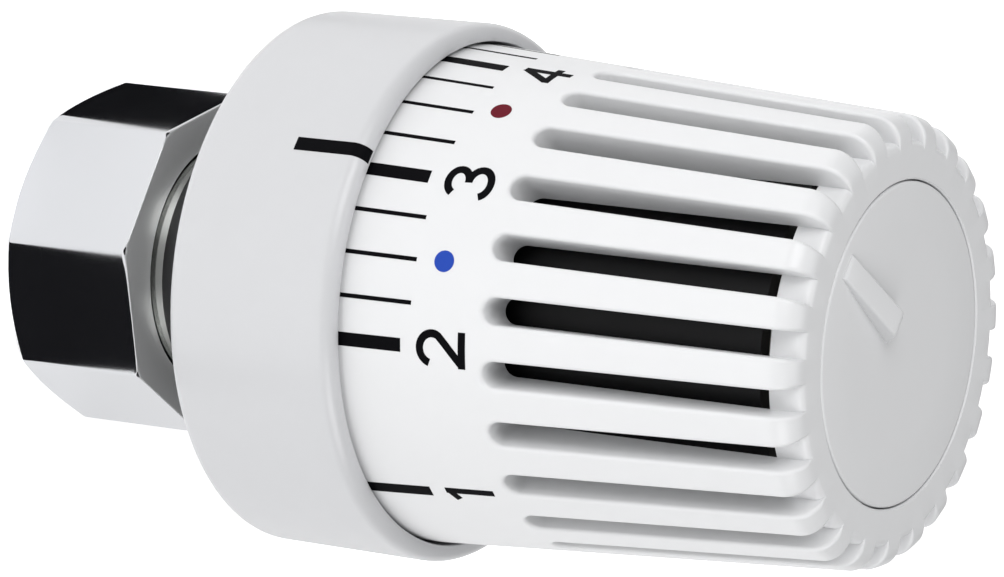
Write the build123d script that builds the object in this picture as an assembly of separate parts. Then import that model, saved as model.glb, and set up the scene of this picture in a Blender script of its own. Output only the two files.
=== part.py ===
"""Thermostatic radiator head with an M30 x 1.5 union nut, as separate pieces.

The axis is +Z. The nut's open end, which screws on to the valve, is at z = 0, and the knob's
end is at the top. The index mark on the fixed collar faces -Y. Lengths are in millimetres.
"""
from build123d import *
from math import cos, pi, radians, sin, tan
import os

# ---- union nut ----
NUT_SIDES = 8
NUT_LENGTH = 15.05
NUT_TURN_DEG = 4.8         # direction of a flat's middle from +X
NUT_WEB = 3.2              # rear wall that pulls on the neck's flange
THREAD_MINOR_R = 14.188    # M30 x 1.5 female thread, over its crests
THREAD_RELIEF = 0.862      # depth of the relief behind the thread, from the crests
NUT_WALL = 0.95            # from that relief to the flats
THREAD_STOP = 0.3          # from the thread's inner end to the neck's face
MOUTH_CHAMFER = 0.9
CORNER_CHAMFER_ANGLE = 30.0
TOP_CHAMFER_DROP = 0.35    # the nut's rear corners are only just broken

# ---- neck ----
NECK_FLANGE_PLAY = 0.288   # radial, flange in the thread's crests
NECK_FLANGE_STEP = 1.9     # from the neck to its flange's edge
NECK_WALL = 4.0            # the bore leaves room for the valve's gland
NUT_WASHER = 0.25
NECK_FLANGE = 1.7
NECK_LENGTH = 14.1         # from the face that stands on the valve
NECK_BORE_LENGTH = 12.0
NECK_THROAT_R = 5.2        # round the pressure pin

# ---- base and collar ----
HUB_GAP = 1.8              # of bare neck behind the nut
BASE_CONE = 9.7            # from the hub to the collar's back
COLLAR_LENGTH = 19.0
COLLAR_GAP = 0.33          # radial, round the knob's skirt
COLLAR_BACK_WALL = 1.58
COLLAR_RIM_WALL = 1.74
COLLAR_LIP = 0.9           # inward lip that the base's flange snaps over
COLLAR_LIP_HEIGHT = 0.8
COLLAR_RIM_ROUND = 1.52
COLLAR_BACK_FILLET = 1.3
BASE_FLANGE = 3.0
BASE_FLOOR = 4.0           # above the neck
BASE_WALL = 3.0
SLEEVE_WALL = 1.8
SLEEVE_REACH = 7.4         # beyond the collar's rim

# ---- knob ----
KNOB_R = 24.77             # at the collar's rim
KNOB_TAPER = 2.72          # radius lost from the collar's rim to the shoulder
KNOB_LENGTH = 47.5         # beyond the collar's rim
SHOULDER_DROP = 2.7        # from the knob's end
SKIRT_REACH = 8.1          # inside the collar
SKIRT_WALL = 2.0
RIB_PLAY = 1.3             # radial, from the sensor's cage to the ribs
SHOULDER_ROUND = 2.6
END_PLATE = 3.5
SLOTS = 24
SLOT_WIDTH = 2.6
SLOT_OFFSET = 15.15        # from the collar's rim
SLOT_PHASE = 1.1           # direction of a slot's middle from +X, in degrees
STEP_HEIGHT = 1.3          # conical step from the skirt's bore to the ribs' bore
BAND_BELOW_SLOTS = 1.2     # from the step to the slots' ends

# ---- memory disc ----
DISC_RIM = 6.37            # from the disc's edge to the knob's shoulder
DISC_THICKNESS = 1.75
DISC_EDGE_ROUND = 0.3
DISC_STEM_R = 2.1
DISC_STEM_LENGTH = 4.7
POINTER_WIDTH = 2.7
POINTER_INSET = 1.28       # from the disc's edge
POINTER_PEAK_R = 4.2
POINTER_INNER_R = 2.2
POINTER_LOW = 0.35
POINTER_HIGH = 1.65
RETAINER_R = 4.5
RETAINER_THICKNESS = 0.75

# ---- screw motion and stops ----
LIMIT_UP_DEG = 80.0
LIMIT_DOWN_DEG = 190.0
DOG_DEG = 20.0             # width of the knob's dog
TAB_DEG = 20.0             # width of a stop ring's tab
STOP_GAP_DEG = 1.0         # left between dog and tab at each limit
STOP_PLATE = 1.2
TAB_OVERLAP = 2.9          # of the tabs and the dog, along the axis
TAB_PLAY = (1.2, 0.32)     # from the sleeve, and from the skirt's bore
THREAD_RING_WALL = 2.32    # from the skirt's bore to the thread's crests
THREAD_RING_SPAN = (-0.6, 11.4)    # of its two ends, from the collar's rim

# ---- sensor, its cage and the push rod ----
CAGE_PLAY = 0.4            # radial, in the base's sleeve
CAGE_WALL = 1.2
CAGE_REACH = 3.6           # inside the collar's rim
CAGE_TOP = 1.5
KEY_WIDTH = 3.0
KEY_HEIGHT = 1.1
KEY_LENGTH = 14.0
THRUST_RING_INSET = (5.2, 1.7)     # of its two edges, from the cage's outside
THRUST_RING = 1.65
CLIP_THICKNESS = 1.2
CLIP_INSET = (3.0, 0.8)
CLIP_OFFSET = 1.3          # from the cage's lower end
CLIP_OPENING_DEG = 24.0
CAN_WALL = 1.0
CAN_BOSS_INSET = 7.8
CAN_BOSS = 2.0
PLATE_THICKNESS = 2.4
BELLOWS_INSET = (10.6, 7.8)
BELLOWS_WALL = 0.5
BELLOWS_PITCH = 2.6
BELLOWS_FOLDS = 6
PLUG_R = 1.9
PLUG_LENGTH = 3.0
SPRING_SPACE = 9.15        # from the sensor to the spring's seat
SPRING_WIRE = 1.4
SPRING_INSET = 5.6         # of the wire's middle
SPRING_TURNS = 3.4
SPRING_SEAT = 0.8
SPRING_SEAT_INSET = (10.2, 2.6)
ROD_R = 2.0
ROD_TOP_INSET = 1.0        # from the bellows' closed end
PIN_R = 3.0
PIN_REACH = 1.3            # of its tip, below the neck's top
TIP_LENGTH = 3.3
TIP_SPIGOT_R = 1.5
TIP_SPIGOT = 2.2
GUIDE_SPAN = (1.0, 9.0)    # of its two ends, from the neck's top
GUIDE_R = 5.0

# ---- clearances ----
RUNNING = 0.05             # radial, and between faces that turn on each other
LOOSE = 0.3                # between curved walls that only pass each other
NECK_PLAY = 0.15           # radial, nut on neck
DISC_PLAY = 0.17
KEY_PLAY = 0.15

# ---- worked out ----
WEB_Z = NUT_LENGTH - NUT_WEB
NECK_SEAT_Z = WEB_Z - NUT_WASHER - RUNNING - NECK_FLANGE
NECK_TOP_Z = NECK_SEAT_Z + NECK_LENGTH
THREAD_LENGTH = NECK_SEAT_Z - THREAD_STOP
BASE_HUB_Z = NUT_LENGTH + HUB_GAP
BASE_FLOOR_Z = NECK_TOP_Z + BASE_FLOOR
COLLAR_BACK_Z = BASE_HUB_Z + BASE_CONE
COLLAR_RIM_Z = COLLAR_BACK_Z + COLLAR_LENGTH
KNOB_TOP_Z = COLLAR_RIM_Z + KNOB_LENGTH
KNOB_SHOULDER_Z = KNOB_TOP_Z - SHOULDER_DROP
KNOB_SKIRT_Z = COLLAR_RIM_Z - SKIRT_REACH
SLOT_START_Z = COLLAR_RIM_Z + SLOT_OFFSET
SLEEVE_TOP_Z = COLLAR_RIM_Z + SLEEVE_REACH
TAB_TOP_Z = KNOB_SKIRT_Z + TAB_OVERLAP
THREAD_RING_Z = (COLLAR_RIM_Z + THREAD_RING_SPAN[0], COLLAR_RIM_Z + THREAD_RING_SPAN[1])
CAGE_BOTTOM_Z = COLLAR_RIM_Z - CAGE_REACH
PIN_TIP_Z = NECK_TOP_Z - PIN_REACH
PIN_TOP_Z = CAGE_BOTTOM_Z
GUIDE_Z = (NECK_TOP_Z + GUIDE_SPAN[0], NECK_TOP_Z + GUIDE_SPAN[1])
THREAD_MAJOR_R = THREAD_MINOR_R + THREAD_RELIEF
NUT_ACROSS_FLATS = 2 * (THREAD_MAJOR_R + NUT_WALL)
NECK_FLANGE_R = THREAD_MINOR_R - NECK_FLANGE_PLAY
NECK_R = NECK_FLANGE_R - NECK_FLANGE_STEP
NECK_BORE_R = NECK_R - NECK_WALL
COLLAR_BORE_R = KNOB_R + COLLAR_GAP
COLLAR_R = COLLAR_BORE_R + COLLAR_BACK_WALL
COLLAR_RIM_R = COLLAR_BORE_R + COLLAR_RIM_WALL
BASE_FLANGE_Z = COLLAR_BACK_Z + COLLAR_LIP_HEIGHT
STOP_SEAT_Z = BASE_FLANGE_Z + BASE_FLANGE
SKIRT_BORE_R = KNOB_R - SKIRT_WALL
SLEEVE_R = SKIRT_BORE_R - THREAD_RING_WALL - RUNNING
SLEEVE_BORE_R = SLEEVE_R - SLEEVE_WALL
TAB_R = (SLEEVE_R + TAB_PLAY[0], SKIRT_BORE_R - TAB_PLAY[1])
KNOB_SHOULDER_R = KNOB_R - KNOB_TAPER
DISC_R = KNOB_SHOULDER_R - DISC_RIM
POINTER_OUTER_R = DISC_R - POINTER_INSET
END_PLATE_Z = KNOB_TOP_Z - END_PLATE
CAGE_R = SLEEVE_BORE_R - CAGE_PLAY
RIB_INNER_R = CAGE_R + RIB_PLAY
CAGE_BORE_R = CAGE_R - CAGE_WALL
THRUST_RING_R = (CAGE_R - THRUST_RING_INSET[0], CAGE_R - THRUST_RING_INSET[1])
CLIP_SPAN = (CAGE_R - CLIP_INSET[0], CAGE_R - CLIP_INSET[1])
SPRING_R = CAGE_R - SPRING_INSET
SPRING_SEAT_R = (CAGE_R - SPRING_SEAT_INSET[0], CAGE_R - SPRING_SEAT_INSET[1])
CAN_BOSS_R = CAGE_R - CAN_BOSS_INSET
BELLOWS_R = (CAGE_R - BELLOWS_INSET[0], CAGE_R - BELLOWS_INSET[1])
CAGE_TOP_Z = END_PLATE_Z - RUNNING - THRUST_RING
CAN_R = CAGE_BORE_R - LOOSE
CLIP_Z = CAGE_BOTTOM_Z + CLIP_OFFSET
CAN_BOTTOM_Z = CLIP_Z + CLIP_THICKNESS + RUNNING
CAN_TOP_Z = CAGE_TOP_Z - CAGE_TOP - SPRING_SEAT - SPRING_SPACE
PLATE_TOP_Z = CAN_BOTTOM_Z + PLATE_THICKNESS
BELLOWS_TOP_Z = PLATE_TOP_Z + BELLOWS_PITCH * BELLOWS_FOLDS + BELLOWS_WALL
INDEX_DEG = -90.0


def turned(points):
    """A ring turned about Z from its half section, a list of (radius, height)."""
    section = make_face(Polyline([(r, 0, z) for r, z in points], close=True))
    return revolve(section, Axis.Z, 360)


def tube(outer, inner, low, high):
    """A plain ring, or a disc where inner is 0."""
    return turned([(inner, low), (outer, low), (outer, high), (inner, high)])


def sector(outer, inner, low, high, middle, width):
    """A piece of a ring, width degrees wide about the direction middle."""
    section = make_face(
        Polyline([(inner, 0, low), (outer, 0, low), (outer, 0, high), (inner, 0, high)], close=True)
    )
    return revolve(section, Axis.Z, width).rotate(Axis.Z, middle - width / 2)


def octagon_prism():
    """The nut's blank, with its corners cut back by a cone at each end."""
    corner_r = NUT_ACROSS_FLATS / 2 / cos(pi / NUT_SIDES)
    turn = 180 / NUT_SIDES + NUT_TURN_DEG
    blank = extrude(RegularPolygon(corner_r, NUT_SIDES, rotation=turn), NUT_LENGTH)
    rise = (corner_r - NUT_ACROSS_FLATS / 2) * tan(radians(CORNER_CHAMFER_ANGLE)) * 2
    top_r = corner_r - TOP_CHAMFER_DROP / tan(radians(CORNER_CHAMFER_ANGLE))
    envelope = turned([
        (0, 0),
        (NUT_ACROSS_FLATS / 2 - 0.3, 0),
        (corner_r + 0.05, rise),
        (corner_r + 0.05, NUT_LENGTH - TOP_CHAMFER_DROP),
        (top_r, NUT_LENGTH),
        (0, NUT_LENGTH),
    ])
    return blank & envelope


def union_nut():
    core = turned([
        (0, -1),
        (THREAD_MINOR_R + MOUTH_CHAMFER, -1),
        (THREAD_MINOR_R + MOUTH_CHAMFER, 0),
        (THREAD_MINOR_R, MOUTH_CHAMFER),
        (THREAD_MINOR_R, THREAD_LENGTH),
        (THREAD_MAJOR_R, THREAD_LENGTH + 0.3),
        (THREAD_MAJOR_R, WEB_Z),
        (NECK_R + NECK_PLAY, WEB_Z),
        (NECK_R + NECK_PLAY, NUT_LENGTH + 1),
        (0, NUT_LENGTH + 1),
    ])
    return octagon_prism() - core


def nut_washer():
    return tube(NECK_FLANGE_R - 0.1, NECK_R + NECK_PLAY, WEB_Z - NUT_WASHER, WEB_Z)


def neck_bush():
    return turned([
        (NECK_BORE_R, NECK_SEAT_Z),
        (NECK_FLANGE_R, NECK_SEAT_Z),
        (NECK_FLANGE_R, NECK_SEAT_Z + NECK_FLANGE),
        (NECK_R, NECK_SEAT_Z + NECK_FLANGE),
        (NECK_R, NECK_TOP_Z),
        (NECK_THROAT_R, NECK_TOP_Z),
        (NECK_THROAT_R, NECK_SEAT_Z + NECK_BORE_LENGTH),
        (NECK_BORE_R, NECK_SEAT_Z + NECK_BORE_LENGTH),
    ])


def base_body():
    cone_r = COLLAR_BORE_R - COLLAR_LIP
    floor_bottom = NECK_TOP_Z
    shell = turned([
        (NECK_R, BASE_HUB_Z),
        (NECK_R + 1, BASE_HUB_Z),
        (cone_r, COLLAR_BACK_Z + 0.2),
        (cone_r, BASE_FLANGE_Z),
        (COLLAR_BORE_R, BASE_FLANGE_Z),
        (COLLAR_BORE_R, STOP_SEAT_Z),
        (SLEEVE_R, STOP_SEAT_Z),
        (SLEEVE_R, SLEEVE_TOP_Z),
        (SLEEVE_BORE_R, SLEEVE_TOP_Z),
        (SLEEVE_BORE_R, BASE_FLOOR_Z),
        (NECK_R + BASE_WALL, BASE_HUB_Z + 2 * BASE_WALL),
        (NECK_R + BASE_WALL, BASE_FLOOR_Z),
        (GUIDE_R, BASE_FLOOR_Z),
        (GUIDE_R, floor_bottom),
        (NECK_R, floor_bottom),
    ])
    groove = Box(2 * (CAGE_R + KEY_HEIGHT + KEY_PLAY), KEY_WIDTH + 2 * KEY_PLAY, SLEEVE_TOP_Z)
    groove = groove.moved(Location((0, 0, BASE_FLOOR_Z + SLEEVE_TOP_Z / 2 + 2)))
    return shell - (groove & tube(SLEEVE_R, SLEEVE_BORE_R - 1, BASE_FLOOR_Z, SLEEVE_TOP_Z + 1))


def guide_bush():
    return tube(GUIDE_R, PIN_R + RUNNING, *GUIDE_Z)


def collar():
    ring = turned([
        (COLLAR_BORE_R - COLLAR_LIP, COLLAR_BACK_Z),
        (COLLAR_R, COLLAR_BACK_Z),
        (COLLAR_RIM_R, COLLAR_RIM_Z),
        (COLLAR_BORE_R, COLLAR_RIM_Z),
        (COLLAR_BORE_R, BASE_FLANGE_Z),
        (COLLAR_BORE_R - COLLAR_LIP, BASE_FLANGE_Z),
    ])
    outer = ring.edges().filter_by(GeomType.CIRCLE).filter_by(lambda e: e.radius > COLLAR_BORE_R + 1)
    rounded = fillet(outer.sort_by(Axis.Z)[-1], COLLAR_RIM_ROUND)
    outer = rounded.edges().filter_by(GeomType.CIRCLE).filter_by(lambda e: e.radius > COLLAR_BORE_R + 1)
    return fillet(outer.sort_by(Axis.Z)[0], COLLAR_BACK_FILLET)


def stop_ring(low, plate_r, tab_deg):
    """A flat ring round the sleeve, out to plate_r, with one tall tab at its edge."""
    ring = tube(plate_r, SLEEVE_R + RUNNING, low, low + STOP_PLATE)
    foot = sector(TAB_R[1], SLEEVE_R + RUNNING, low, low + STOP_PLATE, tab_deg, TAB_DEG)
    return ring + foot + sector(TAB_R[1], TAB_R[0], low, TAB_TOP_Z, tab_deg, TAB_DEG)


def knob_outline():
    """Outer surface of the knob, from the skirt to the end, turned solid."""
    body = turned([
        (0, KNOB_SKIRT_Z),
        (KNOB_R, KNOB_SKIRT_Z),
        (KNOB_R, COLLAR_RIM_Z),
        (KNOB_SHOULDER_R, KNOB_SHOULDER_Z),
        (KNOB_SHOULDER_R - 0.16, KNOB_TOP_Z),
        (0, KNOB_TOP_Z),
    ])
    rim = body.edges().filter_by(GeomType.CIRCLE).sort_by(Axis.Z)[-1]
    return fillet(rim, SHOULDER_ROUND)


def knob_core():
    """The hollow inside the knob, with the step up to the ribs' bore and the disc's recess."""
    step_z = SLOT_START_Z - BAND_BELOW_SLOTS - STEP_HEIGHT
    hollow = turned([
        (0, KNOB_SKIRT_Z - 1),
        (SKIRT_BORE_R, KNOB_SKIRT_Z - 1),
        (SKIRT_BORE_R, step_z),
        (RIB_INNER_R, step_z + STEP_HEIGHT),
        (RIB_INNER_R, END_PLATE_Z),
        (0, END_PLATE_Z),
    ])
    recess_z = KNOB_TOP_Z - DISC_THICKNESS - RUNNING
    recess = tube(DISC_R + DISC_PLAY, 0, recess_z, KNOB_TOP_Z + 1)
    return hollow + recess + tube(DISC_STEM_R + RUNNING, 0, END_PLATE_Z - 1, KNOB_TOP_Z)


def knob_slots():
    """Radial slots with a round lower end, open over the shoulder."""
    reach = KNOB_R - RIB_INNER_R + 2
    height = KNOB_TOP_Z - SLOT_START_Z
    bar = Box(reach, SLOT_WIDTH, height).moved(
        Location((RIB_INNER_R + reach / 2, 0, SLOT_START_Z + SLOT_WIDTH / 2 + height / 2))
    )
    nose = Cylinder(SLOT_WIDTH / 2, reach, rotation=(0, 90, 0)).moved(
        Location((RIB_INNER_R + reach / 2, 0, SLOT_START_Z + SLOT_WIDTH / 2))
    )
    slot = bar + nose
    return [slot.rotate(Axis.Z, SLOT_PHASE + 360 / SLOTS * i) for i in range(SLOTS)]


def knob_shell():
    return knob_outline() - knob_core() - knob_slots()


def thread_ring():
    """Female thread of the knob, over its crests, with the dog that meets the stops."""
    ring = tube(SKIRT_BORE_R, SLEEVE_R + RUNNING, *THREAD_RING_Z)
    return ring + sector(TAB_R[1], TAB_R[0], KNOB_SKIRT_Z, THREAD_RING_Z[0] + 1, INDEX_DEG, DOG_DEG)


def memory_disc():
    low = KNOB_TOP_Z - DISC_THICKNESS
    disc = tube(DISC_R, 0, low, KNOB_TOP_Z)
    disc = fillet(disc.edges().filter_by(GeomType.CIRCLE).sort_by(Axis.Z)[-1], DISC_EDGE_ROUND)
    stem = tube(DISC_STEM_R, 0, KNOB_TOP_Z - DISC_STEM_LENGTH, low + 0.5)
    side = Polyline(
        [
            (0, -POINTER_OUTER_R, low),
            (0, -POINTER_OUTER_R, KNOB_TOP_Z + POINTER_LOW),
            (0, -POINTER_PEAK_R, KNOB_TOP_Z + POINTER_HIGH),
            (0, -POINTER_INNER_R, KNOB_TOP_Z),
            (0, -POINTER_INNER_R, low),
        ],
        close=True,
    )
    pointer = extrude(make_face(side), POINTER_WIDTH / 2, dir=(1, 0, 0), both=True)
    return disc + stem + pointer


def disc_retainer():
    top = END_PLATE_Z - RUNNING
    return tube(RETAINER_R, DISC_STEM_R, top - RETAINER_THICKNESS, top)


def sensor_cage():
    cup = turned([
        (CAGE_BORE_R, CAGE_BOTTOM_Z),
        (CAGE_R, CAGE_BOTTOM_Z),
        (CAGE_R, CAGE_TOP_Z),
        (0, CAGE_TOP_Z),
        (0, CAGE_TOP_Z - CAGE_TOP),
        (CAGE_BORE_R, CAGE_TOP_Z - CAGE_TOP),
    ])
    keys = Box(2 * (CAGE_R + KEY_HEIGHT - KEY_PLAY), KEY_WIDTH, KEY_LENGTH)
    keys = keys.moved(Location((0, 0, CAGE_BOTTOM_Z + KEY_LENGTH / 2)))
    keys = keys - tube(CAGE_R - 0.2, 0, CAGE_BOTTOM_Z - 1, CAGE_BOTTOM_Z + KEY_LENGTH + 1)
    clip_groove = tube(CLIP_SPAN[1] + RUNNING, 0, CLIP_Z - RUNNING, CLIP_Z + CLIP_THICKNESS + RUNNING)
    return cup + keys - clip_groove


def thrust_ring():
    return tube(THRUST_RING_R[1], THRUST_RING_R[0], CAGE_TOP_Z, CAGE_TOP_Z + THRUST_RING)


def cage_clip():
    ring = tube(CLIP_SPAN[1], CLIP_SPAN[0], CLIP_Z, CLIP_Z + CLIP_THICKNESS)
    gap = sector(CLIP_SPAN[1] + 1, CLIP_SPAN[0] - 1, CLIP_Z - 1, CLIP_Z + CLIP_THICKNESS + 1, 0,
                 CLIP_OPENING_DEG)
    return ring - gap


def spring_seat():
    top = CAGE_TOP_Z - CAGE_TOP
    return tube(SPRING_SEAT_R[1], SPRING_SEAT_R[0], top - SPRING_SEAT, top)


def overtravel_spring():
    low = CAN_TOP_Z + SPRING_WIRE / 2 + RUNNING
    high = CAGE_TOP_Z - CAGE_TOP - SPRING_SEAT - SPRING_WIRE / 2 - RUNNING
    path = Helix((high - low) / SPRING_TURNS, high - low, SPRING_R, center=(0, 0, low))
    wire = Plane(path @ 0, z_dir=path % 0) * Circle(SPRING_WIRE / 2)
    return sweep(wire, path, is_frenet=True)


def sensor_can():
    return turned([
        (CAN_R - CAN_WALL, CAN_BOTTOM_Z),
        (CAN_R, CAN_BOTTOM_Z),
        (CAN_R, CAN_TOP_Z),
        (CAN_BOSS_R, CAN_TOP_Z),
        (CAN_BOSS_R, CAN_TOP_Z + CAN_BOSS),
        (PLUG_R, CAN_TOP_Z + CAN_BOSS),
        (PLUG_R, CAN_TOP_Z + CAN_BOSS - CAN_WALL),
        (CAN_BOSS_R - CAN_WALL, CAN_TOP_Z + CAN_BOSS - CAN_WALL),
        (CAN_BOSS_R - CAN_WALL, CAN_TOP_Z - CAN_WALL),
        (CAN_R - CAN_WALL, CAN_TOP_Z - CAN_WALL),
    ])


def sensor_plate():
    return tube(CAN_R - CAN_WALL, ROD_R + RUNNING, CAN_BOTTOM_Z, PLATE_TOP_Z)


def fill_plug():
    top = CAN_TOP_Z + CAN_BOSS
    return tube(PLUG_R, 0, top - CAN_WALL, top + PLUG_LENGTH - CAN_WALL)


def bellows():
    """A folded metal tube, closed at the top, with its foot on the sensor's plate."""
    small, large = BELLOWS_R
    outside = [(large, PLATE_TOP_Z)]
    for fold in range(BELLOWS_FOLDS):
        low = PLATE_TOP_Z + fold * BELLOWS_PITCH
        outside += [(small, low + BELLOWS_PITCH / 2), (large, low + BELLOWS_PITCH)]
    inside = [(r - BELLOWS_WALL, z) for r, z in outside]
    top = outside[-1][1]
    closed = [(large, top + BELLOWS_WALL), (0, top + BELLOWS_WALL), (0, top)]
    return turned(outside + closed + inside[::-1])


def piston_rod():
    return tube(ROD_R, 0, PIN_TOP_Z, BELLOWS_TOP_Z - BELLOWS_WALL - ROD_TOP_INSET)


def pressure_pin():
    low = PIN_TIP_Z + TIP_LENGTH
    return tube(PIN_R, 0, low, PIN_TOP_Z) - tube(TIP_SPIGOT_R, 0, low - 1, low + TIP_SPIGOT)


def pin_tip():
    shoulder = PIN_TIP_Z + TIP_LENGTH
    return tube(PIN_R, 0, PIN_TIP_Z, shoulder) + tube(TIP_SPIGOT_R, 0, shoulder - 1, shoulder + TIP_SPIGOT)


stop_reach = (DOG_DEG + TAB_DEG) / 2 + STOP_GAP_DEG
high_tab_deg = INDEX_DEG + LIMIT_UP_DEG + stop_reach
low_tab_deg = INDEX_DEG - LIMIT_DOWN_DEG - stop_reach

pieces = {
    "union_nut": union_nut(),
    "nut_washer": nut_washer(),
    "neck_bush": neck_bush(),
    "base_body": base_body(),
    "guide_bush": guide_bush(),
    "collar": collar(),
    "stop_ring_low": stop_ring(STOP_SEAT_Z, TAB_R[1], low_tab_deg),
    "stop_ring_high": stop_ring(STOP_SEAT_Z + STOP_PLATE, TAB_R[0] - LOOSE, high_tab_deg),
    "knob_shell": knob_shell(),
    "thread_ring": thread_ring(),
    "memory_disc": memory_disc(),
    "disc_retainer": disc_retainer(),
    "sensor_cage": sensor_cage(),
    "thrust_ring": thrust_ring(),
    "cage_clip": cage_clip(),
    "spring_seat": spring_seat(),
    "overtravel_spring": overtravel_spring(),
    "sensor_can": sensor_can(),
    "sensor_plate": sensor_plate(),
    "fill_plug": fill_plug(),
    "bellows": bellows(),
    "piston_rod": piston_rod(),
    "pressure_pin": pressure_pin(),
    "pin_tip": pin_tip(),
}

os.makedirs("parts", exist_ok=True)
for name, shape in pieces.items():
    export_step(shape, f"parts/{name}.step")
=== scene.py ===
from math import cos, pi, radians, sin, tan

import bmesh
import bpy
import numpy as np
from mathutils import Matrix, Vector


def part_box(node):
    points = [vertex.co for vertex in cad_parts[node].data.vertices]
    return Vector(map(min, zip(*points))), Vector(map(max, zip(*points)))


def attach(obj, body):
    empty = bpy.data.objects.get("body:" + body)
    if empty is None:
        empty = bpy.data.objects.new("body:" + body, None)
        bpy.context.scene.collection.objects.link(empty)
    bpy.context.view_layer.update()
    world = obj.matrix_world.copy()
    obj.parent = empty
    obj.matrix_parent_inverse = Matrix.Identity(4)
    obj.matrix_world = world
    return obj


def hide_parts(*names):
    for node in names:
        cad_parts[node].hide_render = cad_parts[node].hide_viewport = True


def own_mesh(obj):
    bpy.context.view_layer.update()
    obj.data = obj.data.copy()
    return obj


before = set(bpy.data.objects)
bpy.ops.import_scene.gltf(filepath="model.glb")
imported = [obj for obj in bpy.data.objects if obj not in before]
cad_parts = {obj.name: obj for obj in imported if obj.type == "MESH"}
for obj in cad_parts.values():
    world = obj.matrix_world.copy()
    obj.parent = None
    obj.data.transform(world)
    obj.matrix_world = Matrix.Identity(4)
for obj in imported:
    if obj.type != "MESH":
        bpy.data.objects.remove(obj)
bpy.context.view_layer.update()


# ---------------------------------------------------------------- camera
# A long lens on a stand, looking at the knob's end from a little to one side. The camera is
# turned on its lens axis, so that the head lies across the view with its nut to the left.
MM = 0.001
azimuth, elevation, roll = radians(27.7), radians(30.65), radians(96.77)
aim = Vector((-0.75, -0.39, 48.48)) * MM
stand_off = 639.3 * MM

camera_data = bpy.data.cameras.new("camera")
camera_data.lens = 231.9
camera_data.sensor_width = 36.0
camera_data.clip_start, camera_data.clip_end = 0.05, 20.0
camera = bpy.data.objects.new("camera", camera_data)
bpy.context.scene.collection.objects.link(camera)
toward = Vector((sin(azimuth) * cos(elevation), -cos(azimuth) * cos(elevation), sin(elevation)))
level = Vector((cos(azimuth), sin(azimuth), 0.0))
rise = toward.cross(level)
right = level * cos(roll) + rise * sin(roll)
view_up = toward.cross(right)
turn = Matrix((right, view_up, toward)).transposed()
camera.matrix_world = Matrix.Translation(aim + toward * stand_off) @ turn.to_4x4()
bpy.context.scene.camera = camera


# ---------------------------------------------------------------- stage
# A sheet of white card under the head and a white tent round it, lit by three soft lamps. A grey
# card and two strips of black cloth, which only mirrors see, give the chrome its contrast.
bpy.context.scene.view_settings.view_transform = "Standard"
tent = bpy.data.worlds.new("tent")
bpy.context.scene.world = tent
tent.use_nodes = True
tent.node_tree.nodes["Background"].inputs["Color"].default_value = (1.0, 1.0, 1.0, 1.0)
tent.node_tree.nodes["Background"].inputs["Strength"].default_value = 0.30


def staged(name, points, colour, glow=0.0):
    """One flat stage piece from its corners, in a matt colour, with some glow of its own."""
    mesh = bpy.data.meshes.new(name)
    mesh.from_pydata(points, [], [tuple(range(len(points)))])
    piece = bpy.data.objects.new(name, mesh)
    bpy.context.scene.collection.objects.link(piece)
    paint = bpy.data.materials.new(name)
    paint.use_nodes = True
    shader = paint.node_tree.nodes["Principled BSDF"]
    shader.inputs["Base Color"].default_value = (*colour, 1.0)
    shader.inputs["Roughness"].default_value = 0.9
    shader.inputs["Specular IOR Level"].default_value = 0.0
    shader.inputs["Emission Color"].default_value = (1.0, 1.0, 1.0, 1.0)
    shader.inputs["Emission Strength"].default_value = glow
    mesh.materials.append(paint)
    return piece


def for_mirrors_only(piece):
    """Hides a stage piece from the camera, from soft light and from shadows."""
    piece.visible_camera = False
    piece.visible_diffuse = False
    piece.visible_shadow = False


def cloth_strip(name, face_deg, away_deg):
    """A black strip over the card that starts under one face of the nut, from corner to corner, and
    runs away from it in a straight line."""
    away = np.array([cos(radians(away_deg)), sin(radians(away_deg))])
    corners = radians(face_deg) + np.array([-pi / 8, pi / 8])
    near = cloth_start * np.stack([np.cos(corners), np.sin(corners)], axis=-1) - away * MM
    outline = [near[0], near[1], near[1] + away * mirror_reach, near[0] + away * mirror_reach]
    cloth = staged(name, [(*corner, cloth_height) for corner in outline], (0.012, 0.012, 0.014))
    for_mirrors_only(cloth)


card_half = 3.0
staged("card", [(-card_half, -card_half, 0.0), (card_half, -card_half, 0.0),
                (card_half, card_half, 0.0), (-card_half, card_half, 0.0)], (0.9, 0.9, 0.9), glow=0.66)
# the grey card gives the nut's bright faces their tone, and each strip darkens one of its faces
mirror_reach = 0.9
grey_height, cloth_height = 0.1 * MM, 0.2 * MM
grey_bearings = np.linspace(0, 2 * pi, 49)[:-1]
grey_edge = [(mirror_reach * cos(a), mirror_reach * sin(a), grey_height) for a in grey_bearings]
for_mirrors_only(staged("grey_card", grey_edge, (0.45, 0.45, 0.46), glow=0.62))
cloth_start = 16.6 * MM
cloth_strip("cloth_left", -130.2, 161.9)
cloth_strip("cloth_right", -40.2, -17.9)


lamp_distance, lamp_size = 0.8, 0.5


def soft_lamp(name, direction, power):
    """A square area lamp that stands off along a direction from the head and faces it."""
    data = bpy.data.lights.new(name, "AREA")
    data.size = lamp_size
    data.energy = power
    lamp = bpy.data.objects.new(name, data)
    bpy.context.scene.collection.objects.link(lamp)
    facing = Vector(direction).normalized().to_track_quat("Z", "Y").to_matrix().to_4x4()
    lamp.matrix_world = Matrix.Translation(Vector(direction).normalized() * lamp_distance + aim) @ facing


soft_lamp("key", view_up * 0.5 + toward * 0.75 + right * 0.2, 3.3)
soft_lamp("end", right * 0.9 + toward * 0.4, 0.9)
soft_lamp("fill", toward * 0.6 - view_up * 0.7 + right * 0.2, 2.4)


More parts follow.
